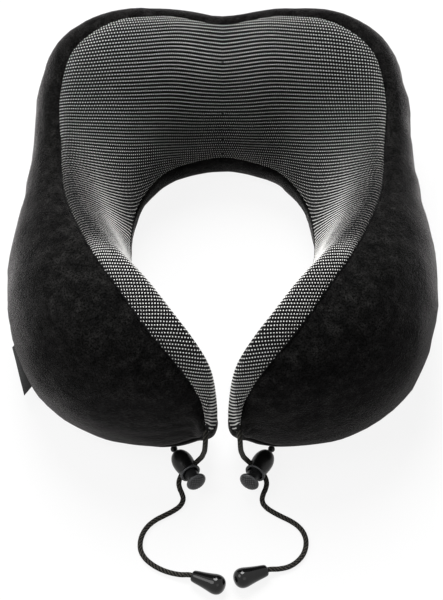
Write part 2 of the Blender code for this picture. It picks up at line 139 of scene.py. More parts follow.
# Materials
class Nodes:
    """A material with short calls for its nodes."""

    def __init__(self, name, color, rough, metal=0.0, **sockets):
        self.mat = bpy.data.materials.new(name)
        self.mat.use_nodes = True
        self.tree = self.mat.node_tree
        self.shader = self.tree.nodes["Principled BSDF"]
        self.shader.inputs["Base Color"].default_value = (*color, 1)
        self.shader.inputs["Roughness"].default_value = rough
        self.shader.inputs["Metallic"].default_value = metal
        for socket, value in sockets.items():
            self.shader.inputs[socket.replace("_", " ")].default_value = value

    def link(self, a, b):
        self.tree.links.new(a, b)

    def new(self, kind, **values):
        """A node; each value is for an input where it has one of that name, or else for a property."""
        node = self.tree.nodes.new("ShaderNode" + kind)
        for name, value in values.items():
            if name.replace("_", " ") in node.inputs:
                node.inputs[name.replace("_", " ")].default_value = value
            else:
                setattr(node, name, value)
        return node

    def maths(self, operation, *values):
        """A Math node, whose values are sockets or numbers."""
        node = self.new("Math", operation=operation)
        for socket, value in zip(node.inputs, values):
            if isinstance(value, bpy.types.NodeSocket):
                self.link(value, socket)
            else:
                socket.default_value = value
        return node.outputs[0]

    def coords(self):
        return self.new("TexCoord").outputs["Object"]

    def noise(self, scale, detail, rough, vector=None):
        node = self.new("TexNoise", Scale=scale, Detail=detail, Roughness=rough)
        self.link(vector or self.coords(), node.inputs["Vector"])
        return node.outputs["Fac"]

    def ramp(self, fac, stops):
        """A colour ramp through (position, colour) stops."""
        node = self.new("ValToRGB")
        self.link(fac, node.inputs["Fac"])
        elements = node.color_ramp.elements
        while len(elements) < len(stops):
            elements.new(.5)
        for element, (position, colour) in zip(elements, stops):
            element.position = position
            element.color = (*colour, 1)
        return node.outputs["Color"]

    def mixed(self, first, second, factor=None, blend="MIX"):
        """Two colours mixed by a socket, or wholly where there is none."""
        node = self.new("Mix", data_type="RGBA", blend_type=blend)
        if factor is None:
            node.inputs["Factor"].default_value = 1
        else:
            self.link(factor, node.inputs["Factor"])
        self.link(first, node.inputs[6])
        self.link(second, node.inputs[7])
        return node.outputs[2]

    def bump(self, height, strength, distance, normal=None):
        node = self.new("Bump", Strength=strength, Distance=distance)
        self.link(height, node.inputs["Height"])
        if normal is not None:
            self.link(normal, node.inputs["Normal"])
        self.link(node.outputs["Normal"], self.shader.inputs["Normal"])
        return node.outputs["Normal"]

    def colour(self, socket):
        self.link(socket, self.shader.inputs["Base Color"])

    def attribute(self, name):
        return self.new("Attribute", attribute_name=name).outputs["Fac"]

    def flat_coords(self, layer):
        """The two coordinates of a UV layer."""
        node = self.new("SeparateXYZ")
        self.link(self.new("UVMap", uv_map=layer).outputs["UV"], node.inputs[0])
        return node.outputs["X"], node.outputs["Y"]


def grey(v):
    return (v, v, v)


def plush_material():
    m = Nodes("plush", (.007, .007, .0072), .95, Sheen_Weight=.42, Sheen_Roughness=.25,
              Specular_IOR_Level=.03)
    m.shader.inputs["Sheen Tint"].default_value = (.86, .83, .83, 1)
    place = m.coords()
    leaning = m.noise(130, 6, .72, place)  # where the pile leans another way
    fibre = m.noise(950, 3, .75, place)
    clump = m.noise(420, 3, .65, place)
    pile = m.ramp(leaning, [(.36, (.0018, .0018, .0018)), (.5, (.0046, .0045, .0044)),
                            (.66, (.0105, .0102, .0099))])
    tips = m.ramp(fibre, [(.38, grey(.15)), (.62, grey(2.4))])
    m.colour(m.mixed(pile, tips, blend="MULTIPLY"))
    m.bump(fibre, .7, .0006, m.bump(clump, .4, .0007))
    return m.mat


def knit_material():
    m = Nodes("knit_ground", (.008, .008, .0083), .9, Sheen_Weight=.03, Sheen_Roughness=.5,
              Specular_IOR_Level=.08)
    column, course = m.flat_coords("courses")
    wales = m.maths("SINE", m.maths("MULTIPLY", column, 2 * math.pi * 3))
    rows = m.maths("COSINE", m.maths("MULTIPLY", course, 2 * math.pi))
    loops = m.maths("MULTIPLY_ADD", wales, .45, rows)
    yarn = m.noise(2600, 2, .6)
    m.colour(m.ramp(yarn, [(.3, (.003, .003, .0032)), (.6, (.007, .007, .0073)), (.8, (.016, .016, .0165))]))
    m.bump(yarn, .5, .0003, m.bump(loops, .7, .00035))
    return m.mat


def dot_material():
    m = Nodes("pale_yarn", (.52, .52, .50), .7, Sheen_Weight=.15, Specular_IOR_Level=.3)
    fibre = m.noise(3200, 3, .6)
    patch = m.noise(60, 2, .5)
    yarn = m.ramp(fibre, [(.3, (.76, .75, .73)), (.55, (.91, .90, .88)), (.75, (.96, .95, .93))])
    shade = m.ramp(patch, [(.3, grey(.9)), (.7, grey(1.0))])
    m.colour(m.mixed(yarn, shade, blend="MULTIPLY"))
    m.bump(fibre, .6, .0002)
    return m.mat


def foam_material():
    m = Nodes("foam", (.72, .66, .50), .9)
    cells = m.new("TexVoronoi", Scale=900.0)
    m.link(m.coords(), cells.inputs["Vector"])
    m.colour(m.ramp(cells.outputs["Distance"], [(.1, (.60, .54, .40)), (.5, (.74, .68, .53))]))
    m.bump(cells.outputs["Distance"], .6, .0006)
    return m.mat


def braid_material():
    m = Nodes("braid", (.012, .012, .012), .85, Sheen_Weight=.05, Specular_IOR_Level=.15)
    fibre = m.noise(3500, 3, .6)
    dark = m.ramp(fibre, [(.3, (.003, .003, .003)), (.7, (.011, .0108, .0102))])
    pale = m.ramp(fibre, [(.3, (.045, .042, .035)), (.7, (.13, .12, .10))])
    m.colour(m.mixed(dark, pale, m.attribute("fleck")))
    m.bump(fibre, .5, .0002)
    return m.mat


def hard_material(name, level, rough, grain, depth, uneven=.5, shine=.5, metal=0.0):
    """Moulded plastic or wire: fine grain, uneven shine, and a painted highlight, a paler colour mixed in by
    a point attribute of the mesh.
    """
    m = Nodes(name, grey(level), rough, metal, Specular_IOR_Level=shine)
    fine = m.noise(grain, 3, .6)
    broad = m.noise(120, 3, .6)
    body = m.ramp(broad, [(.3, grey(level * .8)), (.7, grey(level * 1.3))])
    pale = m.ramp(fine, [(.3, (.08, .082, .088)), (.7, (.13, .133, .14))])
    # the pale colour is a painted highlight, mixed in where the mesh's point attribute asks for it
    m.colour(m.mixed(body, pale, m.attribute("painted_highlight")))
    low, high = rough * (1 - .25 * uneven), min(1, rough * (1 + .35 * uneven))
    m.link(m.ramp(broad, [(.3, grey(low)), (.75, grey(high))]), m.shader.inputs["Roughness"])
    m.bump(fine, .35, depth)
    return m.mat


def metal_material():
    m = Nodes("dark_metal", (.10, .10, .11), .32, 1.0)
    stretched = m.new("Mapping", vector_type="POINT")
    m.link(m.coords(), stretched.inputs["Vector"])
    stretched.inputs["Scale"].default_value = (1, 1, 14)
    scratch = m.noise(260.0, 4.0, .5, stretched.outputs[0])
    m.colour(m.ramp(scratch, [(.3, (.07, .07, .075)), (.7, (.16, .16, .17))]))
    m.link(m.ramp(scratch, [(.3, grey(.25)), (.7, grey(.45))]), m.shader.inputs["Roughness"])
    m.bump(scratch, .2, .0001)
    return m.mat


def ribbon_material():
    """A plain weave, whose threads are 0.6 mm apart."""
    m = Nodes("ribbon", (.011, .011, .0115), .75, Sheen_Weight=.25, Specular_IOR_Level=.3)
    threads = [m.maths("SINE", m.maths("MULTIPLY", flat, math.pi / .0006)) for flat in m.flat_coords("weave")]
    yarn = m.noise(2400, 2, .6)
    m.colour(m.ramp(yarn, [(.3, grey(.007)), (.7, grey(.018))]))
    m.bump(yarn, .4, .0002, m.bump(m.maths("MULTIPLY", *threads), .6, .0002))
    return m.mat


MAT = {
    "plush": plush_material(),
    "knit": knit_material(),
    "dots": dot_material(),
    "foam": foam_material(),
    "braid": braid_material(),
    "ribbon": ribbon_material(),
    "metal": metal_material(),
    "lock": hard_material("lock_plastic", .006, .34, 900, .00005, .5, .22),
    "button": hard_material("button_plastic", .007, .3, 1400, .00003, .5, .3),
    "gloss": hard_material("gloss_plastic", .005, .1, 300, .00002, .3, .3),
    "nylon": hard_material("nylon", .013, .42, 1500, .00005),
    "steel": hard_material("spring_steel", .45, .3, 900, .00004, metal=1.0),
}


# Meshes
def filled_mesh(name, verts, faces):
    """A mesh from points and faces, with its normals made to point out."""
    me = bpy.data.meshes.new(name)
    me.from_pydata([tuple(v) for v in verts], [], faces)
    bm = bmesh.new()
    bm.from_mesh(me)
    bmesh.ops.recalc_face_normals(bm, faces=bm.faces)
    bm.to_mesh(me)
    bm.free()
    return me


def add_mesh(name, verts, faces, mat, angle=40):
    """A smooth object from metres, with sharp edges past the angle in degrees."""
    me = filled_mesh(name, verts, faces)
    me.shade_smooth()
    me.set_sharp_from_angle(angle=math.radians(angle))
    me.materials.append(mat)
    return linked(name, me)


def stands_for(ob, body, slot, *nodes):
    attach(ob, body)
    if nodes:
        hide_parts(*nodes)
    return ob


def sheet_faces(rows, columns):
    """The faces of a closed sheet: a grid of points, the same grid again for its other side, and the rim."""
    count = rows * columns
    q = np.arange(count).reshape(rows, columns)
    near = np.stack([q[:-1, :-1], q[1:, :-1], q[1:, 1:], q[:-1, 1:]], -1).reshape(-1, 4)
    faces = [tuple(face) for face in near] + [tuple(v + count for v in face[::-1]) for face in near]
    rim = list(q[0]) + list(q[1:, -1]) + list(q[-1, ::-1][1:]) + list(q[::-1, 0][1:-1])
    return faces + [(a, b, b + count, a + count) for a, b in zip(rim, rim[1:] + rim[:1])]


def smooth(low, high, v):
    """0 up to the low value, 1 from the high one, and an even turn between them."""
    t = np.clip((v - low) / (high - low), 0, 1)
    return t * t * (3 - 2 * t)


def smooth_rows(P, n):
    """A smooth curve through the rows of P along its first axis, with n steps in each span."""
    P = np.asarray(P, float)
    d = np.maximum(np.linalg.norm(np.diff(P, axis=0), axis=-1), 1e-6)[..., None]
    T = np.zeros_like(P)
    T[1:-1] = ((P[1:-1] - P[:-2]) / d[:-1] * d[1:] + (P[2:] - P[1:-1]) / d[1:] * d[:-1]) / (d[:-1] + d[1:])
    T[0] = (P[1] - P[0]) / d[0]
    T[-1] = (P[-1] - P[-2]) / d[-1]
    out = []
    for i in range(len(P) - 1):
        for k in range(n):
            t = k / n
            out.append((2 * t**3 - 3 * t * t + 1) * P[i] + (t**3 - 2 * t * t + t) * d[i] * T[i]
                       + (3 * t * t - 2 * t**3) * P[i + 1] + (t**3 - t * t) * d[i] * T[i + 1])
    out.append(P[-1])
    return np.array(out)


# Cushion surface
# inner foot x y, widest outer point x y and its height, crest (share of the way across, height),
# upper seam (share of the way across, height), how far the outer wall tucks in under itself,
# height of the base
STATIONS = [
    (0.0, 86.5, 0, 160, 78, .70, 107, .81, 105, 12, 0),
    (20, 82.5, 44, 161.5, 78, .69, 117, .80, 115, 14, 0),
    (37.5, 75, 84, 160, 76, .70, 115, .79, 112, 13, 0),
    (49.5, 62, 112, 144, 70, .69, 104, .80, 101, 12, 0),
    (57, 47, 123, 116, 62, .66, 94, .77, 91, 13, 0),
    (61, 28, 125.5, 76, 58, .60, 91, .70, 88, 14, 0),
    (61, 8, 131, 32, 56, .48, 102, .59, 98, 15, 0),
    (56.5, -12, 138, -12, 56, .34, 120, .44, 114, 17, 0),
    (48, -36, 135.5, -54, 52, .23, 134, .36, 126, 19, 0),
    (36, -57, 119.5, -91, 45, .16, 137, .33, 128, 22, 0),
    (23, -77, 96, -111, 40, .14, 132, .35, 121, 26, 0),
    (11, -94, 63, -122, 36, .13, 121, .40, 107, 26, 0),
    (3.5, -105, 33, -124.5, 38, .14, 104, .56, 88, 15, 9),
    (3.5, -112, 17, -121.5, 44, .35, 84, .72, 68, 6, 22),
]
LOWER_SEAM = 30.0
INNER_WALL = [(.115, .35), (.34, .66), (.80, .96)]
OUTER_DOME = [(.42, .90), (.78, .63)]
NOSE, NOSE_REACH = np.array((10.6, -117.0, 50.0)), 9.5  # middle of the left arm's tip, and its length
CORD_HOLE = 1.75
ZIP_HALF, ZIP_Y, ZIP_Z = 60.0, 156.0, 25.0
BACK_EDGE_Y = 148.0  # where the lower back meets the table
RAILS = ("inner_edge", "inner_side", "lower_seam", "wall_low", "wall_mid", "wall_high", "crest", "upper_seam",
         "dome_high", "dome_low", "widest", "side_seam", "outer_edge")
RAIL = {name: i for i, name in enumerate(RAILS)}
ALONG, AROUND, CAP = 6, 6, 8  # steps between sections, between rails, and in a tip
TIP_ROUNDS, SHOULDER_ROUNDS = 14, 22


def section(station):
    """The rails' points on one section across the cushion."""
    ix, iy, ox, oy, zo, c, zc, s, zs, tuck, zb = station
    w = math.hypot(ox - ix, oy - iy)
    inn = min(11.0, .24 * w)
    pts = [(inn / w, zb), (.18 * inn / w, zb + .42 * (LOWER_SEAM - zb)), (0, max(LOWER_SEAM, zb + 12))]
    for a, b in INNER_WALL:
        pts.append((c * a, pts[2][1] + (zc - pts[2][1]) * b))
    pts += [(c, zc), (s, zs)]
    pts += [(s + (1 - s) * f, zo + (zs - zo) * g) for f, g in OUTER_DOME]
    pts += [(1.0, zo), (1 - .32 * tuck / w, zb + .29 * (zo - zb)), (1 - min(tuck, .45 * w) / w, zb)]
    return [(ix + (ox - ix) * f, iy + (oy - iy) * f, z) for f, z in pts]


def tip_rows(last):
    """The rows that close an arm's tip, from its last section to the hole for the cord."""
    turn = np.arctan2(last[:, 2] - NOSE[2], last[:, 0] - NOSE[0])
    hole = NOSE + CORD_HOLE * np.stack([np.cos(turn), 0 * turn, np.sin(turn)], -1)
    rows = []
    for k in range(1, CAP + 1):
        a = math.radians(90) * k / CAP
        shrink = np.array([math.cos(a), math.cos(a)**2, math.cos(a)])
        closed = (k / CAP)**3
        reach = np.array([0, -NOSE_REACH * math.sin(a), 0])
        rows.append(NOSE + (last - NOSE) * shrink + (hole - NOSE) * closed + reach)
    return rows


def evened_tip(half):
    """The tip's form evened out, with its end held."""
    for _ in range(TIP_ROUNDS):
        new = half.copy()
        even = (half[:-2] + half[2:] + np.roll(half, 1, 1)[1:-1] + np.roll(half, -1, 1)[1:-1]) / 4
        share = np.clip((np.arange(len(half)) - len(half) + CAP + 16) / 10, 0, 1)[1:-1, None, None]
        new[1:-1] += (even - half[1:-1]) * share * .8
        half = new
    return half


def evened_shoulders(S):
    """The shoulder of each arm, rounder than its few rails make it."""
    a, b = RAIL["lower_seam"] * AROUND + 2, RAIL["upper_seam"] * AROUND - 2
    for _ in range(SHOULDER_ROUNDS):
        share = .5 * np.clip((25 - S[:, a:b, 1]) / 40, 0, 1)[..., None]
        S[:, a:b] += share * ((S[:, a - 1:b - 1] + S[:, a + 1:b + 1]) / 2 - S[:, a:b])


def cushion_surface():
    """The outer surface as rows from the right tip to the left tip; each row runs round the section."""
    G = np.array([section(station) for station in STATIONS])
    side, edge = RAIL["side_seam"], RAIL["outer_edge"]
    G[:3, side, 1], G[:3, side, 2] = ZIP_Y, ZIP_Z  # the lower back is straight where the zip is
    G[:3, edge, 1] = BACK_EDGE_Y
    other = G[1:3][::-1] * np.array([-1, 1, 1])
    half = smooth_rows(np.concatenate([other, G]), ALONG)[2 * ALONG:]
    half[0, :, 0] = 0
    ring = np.swapaxes(smooth_rows(np.swapaxes(half, 0, 1), AROUND), 0, 1)
    ring[..., 2] = np.maximum(ring[..., 2], 0)
    half = evened_tip(np.concatenate([ring, tip_rows(ring[-1])]))
    S = np.concatenate([half[:0:-1] * np.array([-1, 1, 1]), half])
    evened_shoulders(S)
    return S


def outward(S):
    """The surface's normals, pointing out."""
    around = np.roll(S, -1, axis=1) - np.roll(S, 1, axis=1)
    N = np.cross(np.gradient(S, axis=0), around)
    N /= np.maximum(np.linalg.norm(N, axis=-1, keepdims=True), 1e-9)
    return -N if ((S - S.mean(axis=1, keepdims=True)) * N).sum() < 0 else N


SURF = cushion_surface()
NORM = outward(SURF)
ROWS, COLS = SURF.shape[:2]


def hills(P, size, seed):
    """Smooth low noise, from -1 to 1, at the given size in mm: the small unevenness of a stuffed cover."""
    r = np.random.default_rng(seed)
    out = np.zeros(P.shape[:-1])
    for _ in range(9):
        k = r.normal(size=3)
        k *= 2 * math.pi / size / np.linalg.norm(k) * r.uniform(.7, 1.4)
        out += np.sin(P @ k + r.uniform(0, 6.28))
    return out / 4.2


SEAM_STEPS = np.array([0, .35, .8, 1.4, 2.2, 3.4, 5.0])  # the points nearest to a seam, in mm from it


def strip(first, last, middle, puff, dip, width):
    """The surface between two rails, finer near its two seams, where it turns in: its points, their
    normals, their distance from the nearer seam, and how far they rise."""
    a, b = RAIL[first] * AROUND, RAIL[last] * AROUND
    cols = list(range(a, b + 1)) if b > a else list(range(a, COLS)) + list(range(0, b + 1))
    points, normals, from_seam = [], [], []
    for p, n in zip(SURF[:, cols], NORM[:, cols]):
        s = np.concatenate([[0], np.cumsum(np.linalg.norm(np.diff(p, axis=0), axis=1))])
        k = min(1.0, s[-1] / 30)
        between = np.linspace(5 * k, s[-1] - 5 * k, middle + 2)[1:-1]
        t = np.concatenate([SEAM_STEPS * k, between, s[-1] - SEAM_STEPS[::-1] * k])
        points.append(np.stack([np.interp(t, s, p[:, i]) for i in range(3)], -1))
        normals.append(np.stack([np.interp(t, s, n[:, i]) for i in range(3)], -1))
        from_seam.append(np.minimum(t, s[-1] - t))
    X, M, D = np.array(points), np.array(normals), np.array(from_seam)
    M /= np.linalg.norm(M, axis=-1, keepdims=True)
    ease = np.array([min(1, row.max() / 9) for row in D])[:, None]
    lift = puff * (1 - np.exp(-(D / 5.0)**2)) - dip * np.exp(-(D / width)**2)
    return X, M, D, lift * ease


def shell(name, X, M, thick, mat):
    """A closed sheet with its outer face at X."""
    inner = X - M * thick
    inner[..., 2] = np.maximum(inner[..., 2], np.minimum(X[..., 2], 0) + .5)
    verts = np.concatenate([X.reshape(-1, 3), inner.reshape(-1, 3)]) * MM - np.array([0, ORIGIN_Y * MM, 0])
    return add_mesh(name, verts, sheet_faces(*X.shape[:2]), mat)


# Plush panels
PLUSH_THICK, KNIT_THICK = 1.2, 1.0


def plush_panel(name, first, last, middle, node):
    X, M, D, lift = strip(first, last, middle, .7, 1.5, 1.7)
    lift = lift + (.45 * hills(X, 26, 3) + .22 * hills(X, 9, 5)) * (1 - np.exp(-(D / 6)**2))
    flat = X[..., 2] < .02
    Y = X + M * np.where(flat, np.minimum(lift, 0), lift)[..., None]
    Y[..., 2] = np.where(flat, np.maximum(X[..., 2], 0), np.maximum(Y[..., 2], 0))
    return stands_for(shell(name, Y, M, PLUSH_THICK, MAT["plush"]), "pillow", "plush", node)


plush_panel("plush_outer", "upper_seam", "side_seam", 30, "outer_panel")
plush_panel("plush_base", "side_seam", "lower_seam", 26, "base_panel")


# Knitted panel
def fitted(P, G, along, keep):
    """Counts over the grid that rise as G says. Edges beside `along` weigh 1, those across it `keep`."""
    n, m = P.shape[:2]
    idx = np.arange(n * m).reshape(n, m)
    ea = np.concatenate([idx[:-1].ravel(), idx[:, :-1].ravel(), idx[:-1, :-1].ravel(), idx[1:, :-1].ravel()])
    eb = np.concatenate([idx[1:].ravel(), idx[:, 1:].ravel(), idx[1:, 1:].ravel(), idx[:-1, 1:].ravel()])
    F, g, d = P.reshape(-1, 3), G.reshape(-1, 3), along.reshape(-1, 3)
    e = F[eb] - F[ea]
    length = np.maximum(np.linalg.norm(e, axis=1), .2)
    want = ((g[ea] + g[eb]) / 2 * e).sum(-1)
    share = (((d[ea] + d[eb]) / 2 * e).sum(-1) / length)**2
    w = (keep + (1 - keep) * share) / length

    def spread(r):
        return np.bincount(eb, r, n * m) - np.bincount(ea, r, n * m)

    diag = np.bincount(eb, w, n * m) + np.bincount(ea, w, n * m)
    v, r = np.zeros(n * m), spread(w * want)
    z = r / diag
    p, rz = z.copy(), r @ z
    for _ in range(2500):
        q = spread(w * (p[eb] - p[ea]))
        step = rz / (p @ q)
        v += step * p
        r -= step * q
        if np.abs(r).max() < 1e-6:
            break
        z = r / diag
        rz, old = r @ z, rz
        p = z + rz / old * p
    return v.reshape(n, m)


def row_directions(P, N):
    """Unit vectors along the rows and across them, over the grid. Rows lie in slanting planes across the
    pillow, and rise a little towards the two humps of the back."""
    x, y, z = np.abs(P[..., 0]), P[..., 1], P[..., 2]
    middle = 1 - smooth(45, 85, x)
    tilt = np.radians(24 - 26 * smooth(-45, 0, y) + (22 + 22 * middle) * smooth(12, 58, y))
    plane = np.stack([np.zeros_like(tilt), np.cos(tilt), np.sin(tilt)], -1)
    along = np.cross(plane, N)
    along /= np.maximum(np.linalg.norm(along, axis=-1, keepdims=True), 1e-6)
    across = np.cross(along, N)
    lean = np.radians(7) * smooth(20, 42, x) * (1 - smooth(80, 105, x)) * smooth(55, 100, z)
    lean = (lean * smooth(40, 70, y) * np.sign(P[..., 0]))[..., None]
    return (along * np.cos(lean) + across * np.sin(lean), across * np.cos(lean) - along * np.sin(lean))


def pitches(P):
    """Millimetres from dot to dot along a row, and from row to row, over the grid."""
    x, y, z = np.abs(P[..., 0]), P[..., 1], P[..., 2]
    back = smooth(0, 50, y)
    low = back * (1 - smooth(30, 85, z)) * (1 - smooth(30, 75, x))
    toward_seam = smooth(.6, 1, np.linspace(0, 1, P.shape[1]))[None, :]
    columns = (1 - back) * (.98 + .34 * toward_seam) + back * (1.38 + .75 * smooth(28, 85, x))
    rows = (2.1 + .2 * back + .35 * (1 - smooth(-105, -65, y))) * (1 - .25 * low)
    fold = smooth(60, 75, x) * smooth(90, 105, z)
    rows = rows * (1 + fold * (.36 * np.exp(-((y - 18) / 18)**2) - .38 * np.exp(-((y + 33) / 10)**2)))
    return columns[..., None], rows[..., None]


def courses(P, N):
    """Column and row counts of the knit over the grid: rows across the pillow, at an even distance."""
    along, across = row_directions(P, N)
    pitch_c, pitch_r = pitches(P)
    C = fitted(P, along / pitch_c, along, .12)
    R = fitted(P, across / pitch_r, along, .5)
    C = (C - C[::-1]) / 2  # the two halves match
    R = (R + R[::-1]) / 2
    x, z = np.abs(P[..., 0]), P[..., 2]
    point = 2.4 * smooth(45, 115, z) * (np.exp(-(x / 22)**2) + .1 * np.exp(-x / 5))
    return C, R - R[len(R) // 2, 0] - point


X, M, D, lift = strip("lower_seam", "upper_seam", 34, .25, 1.3, 1.5)
KNIT = X + M * lift[..., None]
C, R = courses(KNIT, M)


def knit_panel():
    knit = shell("knit_panel", KNIT, M, KNIT_THICK, MAT["knit"])
    uv = knit.data.uv_layers.new(name="courses")
    counts = np.stack([np.tile(C.ravel(), 2), np.tile(R.ravel(), 2)], -1).astype(np.float32)
    corners = np.empty(len(knit.data.loops), int)
    knit.data.loops.foreach_get("vertex_index", corners)
    uv.data.foreach_set("uv", counts[corners].ravel())
    return stands_for(knit, "pillow", "knit", "top_panel")


DOT_SIDES = [(math.cos(a), math.sin(a)) for a in (math.pi / 3 * k for k in range(6))]
DOT_RISE, DOT_SUNK = .34, .05
DOT_SHOULDER = (.66, .72)  # shares of its width and of its rise
DOTS_FROM_SEAM = .75
DOTS_END_Y = -125.2  # at the arm's tip no dots lie past this


def dot_size(p, step):
    """A dot's half width, half length and rise: large on the arms, where the knit is least stretched; small
    low on the wall behind the neck and along the ridge, as painted shade; a little larger high on the back,
    as painted light."""
    x, y, z = p
    arm = 1 - smooth(-50, -10, y)
    low = smooth(20, 50, y) * (1 - smooth(40, 100, z)) * (1 - smooth(45, 85, abs(x)))
    ridge = smooth(-45, -25, y) * (1 - smooth(40, 80, y)) * smooth(75, 105, z)
    high = smooth(90, 130, y) * smooth(85, 105, z)
    # low and ridge shrink the pale dots as painted shade, high grows them as painted light
    f = 1 + .22 * arm - .3 * low - .4 * ridge + .2 * high
    return min((.19 + .1 * arm) * step * f, .5), .46 * f, DOT_RISE * (1 - .6 * ridge)


def add_dot(p, normal, along, verts, faces):
    """One dot: a low dome with six sides. The length of `along` is the step from dot to dot."""
    normal = normal / np.linalg.norm(normal)
    step = np.linalg.norm(along)
    along = along / max(step, 1e-6)
    across = np.cross(normal, along)
    wide, long, rise = dot_size(p, step)
    side, up = DOT_SHOULDER
    o = len(verts)
    verts += [p + along * wide * x + across * long * y - normal * DOT_SUNK for x, y in DOT_SIDES]
    verts += [p + along * wide * side * x + across * long * side * y + normal * rise * up
              for x, y in DOT_SIDES]
    verts.append(p + normal * rise)
    for s in range(6):
        t = (s + 1) % 6
        faces.append((o + s, o + t, o + 6 + t, o + 6 + s))
        faces.append((o + 6 + s, o + 6 + t, o + 12))


def dots_in(corners, with_edges):
    """The dots in one triangle of the grid: their weights on its corners, and one step along their row."""
    c = np.array([C[t] for t in corners])
    r = np.array([R[t] for t in corners])
    det = (c[1] - c[0]) * (r[2] - r[0]) - (c[2] - c[0]) * (r[1] - r[0])
    if abs(det) < 1e-9:
        return
    P = [KNIT[t] for t in corners]
    along = ((P[1] - P[0]) * (r[2] - r[0]) - (P[2] - P[0]) * (r[1] - r[0])) / det
    for course in range(math.ceil(r.min()), math.floor(r.max()) + 1):
        shift = (course % 3) / 3
        for k in range(math.ceil(c.min() - shift), math.floor(c.max() - shift) + 1):
            b1 = ((k + shift - c[0]) * (r[2] - r[0]) - (c[2] - c[0]) * (course - r[0])) / det
            b2 = ((c[1] - c[0]) * (course - r[0]) - (k + shift - c[0]) * (r[1] - r[0])) / det
            weights = (1 - b1 - b2, b1, b2)
            if min(weights) > 0 or min(weights) == 0 and with_edges:
                yield weights, along


def knit_dots(name, first, last):
    """Raised yarn dots at the whole counts of rows and columns, each row a third of a step along."""
    verts, faces = [], []
    for i in range(first, last):
        for j in range(C.shape[1] - 1):
            lower = ((i, j), (i + 1, j), (i + 1, j + 1))
            upper = ((i, j), (i + 1, j + 1), (i, j + 1))
            for corners in (lower, upper):
                for weights, along in dots_in(corners, corners is lower):
                    p, normal, from_seam = (sum(w * grid[t] for w, t in zip(weights, corners))
                                            for grid in (KNIT, M, D))
                    if from_seam >= DOTS_FROM_SEAM and p[1] >= DOTS_END_Y:
                        add_dot(p, normal, along, verts, faces)
    verts = np.array(verts) * MM - np.array([0, ORIGIN_Y * MM, 0])
    me = bpy.data.meshes.new(name)
    me.from_pydata([tuple(v) for v in verts], [], faces)
    me.shade_smooth()
    me.materials.append(MAT["dots"])
    return stands_for(linked(name, me), "pillow", "knit")


knit_panel()
knit_dots("knit_dots_left", 0, ROWS // 3)
knit_dots("knit_dots_back", ROWS // 3, ROWS * 2 // 3)
knit_dots("knit_dots_right", ROWS * 2 // 3, ROWS - 1)

# Foam
FOAM_INSET, FOAM_FLOOR = 3.4, 1.7


def foam_block():
    """The moulded block: every third row of the surface, set in under the cover."""
    half = ROWS // 2
    picked = list(range(9, half, 3)) + [half] + list(range(ROWS - 10, half, -3))[::-1]
    Q = SURF[picked] - NORM[picked] * FOAM_INSET
    Q[..., 2] = np.where(SURF[picked][..., 2] < 1e-6, FOAM_FLOOR, np.maximum(Q[..., 2], FOAM_FLOOR))
    n, m = Q.shape[:2]
    V = [to_row(p) for p in Q.reshape(-1, 3)]
    F = []
    for i in range(n - 1):
        for j in range(m):
            k = (j + 1) % m
            F.append((i * m + j, (i + 1) * m + j, (i + 1) * m + k, i * m + k))
    for row, hand in ((0, -1), (n - 1, 1)):
        V.append(to_row((hand * NOSE[0], NOSE[1], NOSE[2])))
        F += [(row * m + j, row * m + (j + 1) % m, len(V) - 1) for j in range(m)]
    foam = stands_for(add_mesh("foam_block", V, F, MAT["foam"]), "pillow", "foam", "foam_core")


foam_block()

# Zip
COIL_R, TAPE_W, TAPE_T = 1.4, 6.6, .8
COIL_Y = ZIP_Y + .3 + COIL_R
COIL_WIRE, COIL_STEP = .3, 1.25
COIL_END = ZIP_HALF - 3.3
TAPE_WAVE, TAPE_WAVE_LENGTH = .05, 2.4


def tape(name, z0, z1, node):
    """A woven tape: a thin strip with small waves along it."""
    xs = np.linspace(-ZIP_HALF, ZIP_HALF, 121)
    zs = np.linspace(z0, z1, 7)
    V = []
    for face in (0, 1):
        for x in xs:
            for k, z in enumerate(zs):
                wave = TAPE_WAVE * math.sin(x * 2 * math.pi / TAPE_WAVE_LENGTH) if 0 < k < 6 else 0
                V.append(to_row((x, ZIP_Y - (TAPE_T if face else -wave) + (.02 if face else 0), z)))
    ob = add_mesh(name, V, sheet_faces(len(xs), len(zs)), MAT["ribbon"])
    uv = ob.data.uv_layers.new(name="weave")
    for loop in ob.data.loops:
        co = ob.data.vertices[loop.vertex_index].co
        uv.data[loop.index].uv = (co.x, co.z)
    return stands_for(ob, "pillow", "ribbon", node)


def tube(path, radius, sides, V, F):
    """A round wire along a path of points."""
    path = np.asarray(path, float)
    T = np.gradient(path, axis=0)
    T /= np.linalg.norm(T, axis=1, keepdims=True)
    up = np.cross(T[0], (.31, .17, .93))
    base = len(V)
    for p, t in zip(path, T):
        up = up - t * (up @ t)
        up /= np.linalg.norm(up)
        across = np.cross(t, up)
        for k in range(sides):
            a = 2 * math.pi * k / sides
            V.append(p + radius * (up * math.cos(a) + across * math.sin(a)))
    for i in range(len(path) - 1):
        for k in range(sides):
            a, b = base + i * sides + k, base + i * sides + (k + 1) % sides
            F.append((a, b, b + sides, a + sides))
    end = base + (len(path) - 1) * sides
    F += [tuple(range(base, base + sides))[::-1], tuple(range(end, end + sides))]


def coil_teeth():
    """Two nylon coils, their turns meshed along the middle."""
    V, F = [], []
    for hand in (-1, 1):
        for k in range(int(2 * COIL_END / COIL_STEP)):
            x0 = -COIL_END + .35 + k * COIL_STEP + (.6 if hand > 0 else 0)
            turn = []
            for s in range(13):
                a = math.radians(-150 + 300 * s / 12)
                turn.append((x0 + .3 * (s / 12 - .5), COIL_Y - .02 + (COIL_R - .34) * math.sin(a),
                             ZIP_Z - hand * (COIL_R - .36) * (math.cos(a) * .95)))
            tube(turn, COIL_WIRE, 6, V, F)
    coil = add_mesh("coil_teeth", [to_row(p) for p in V], F, MAT["nylon"], angle=60)
    return stands_for(coil, "pillow", "nylon", "zip_coil")


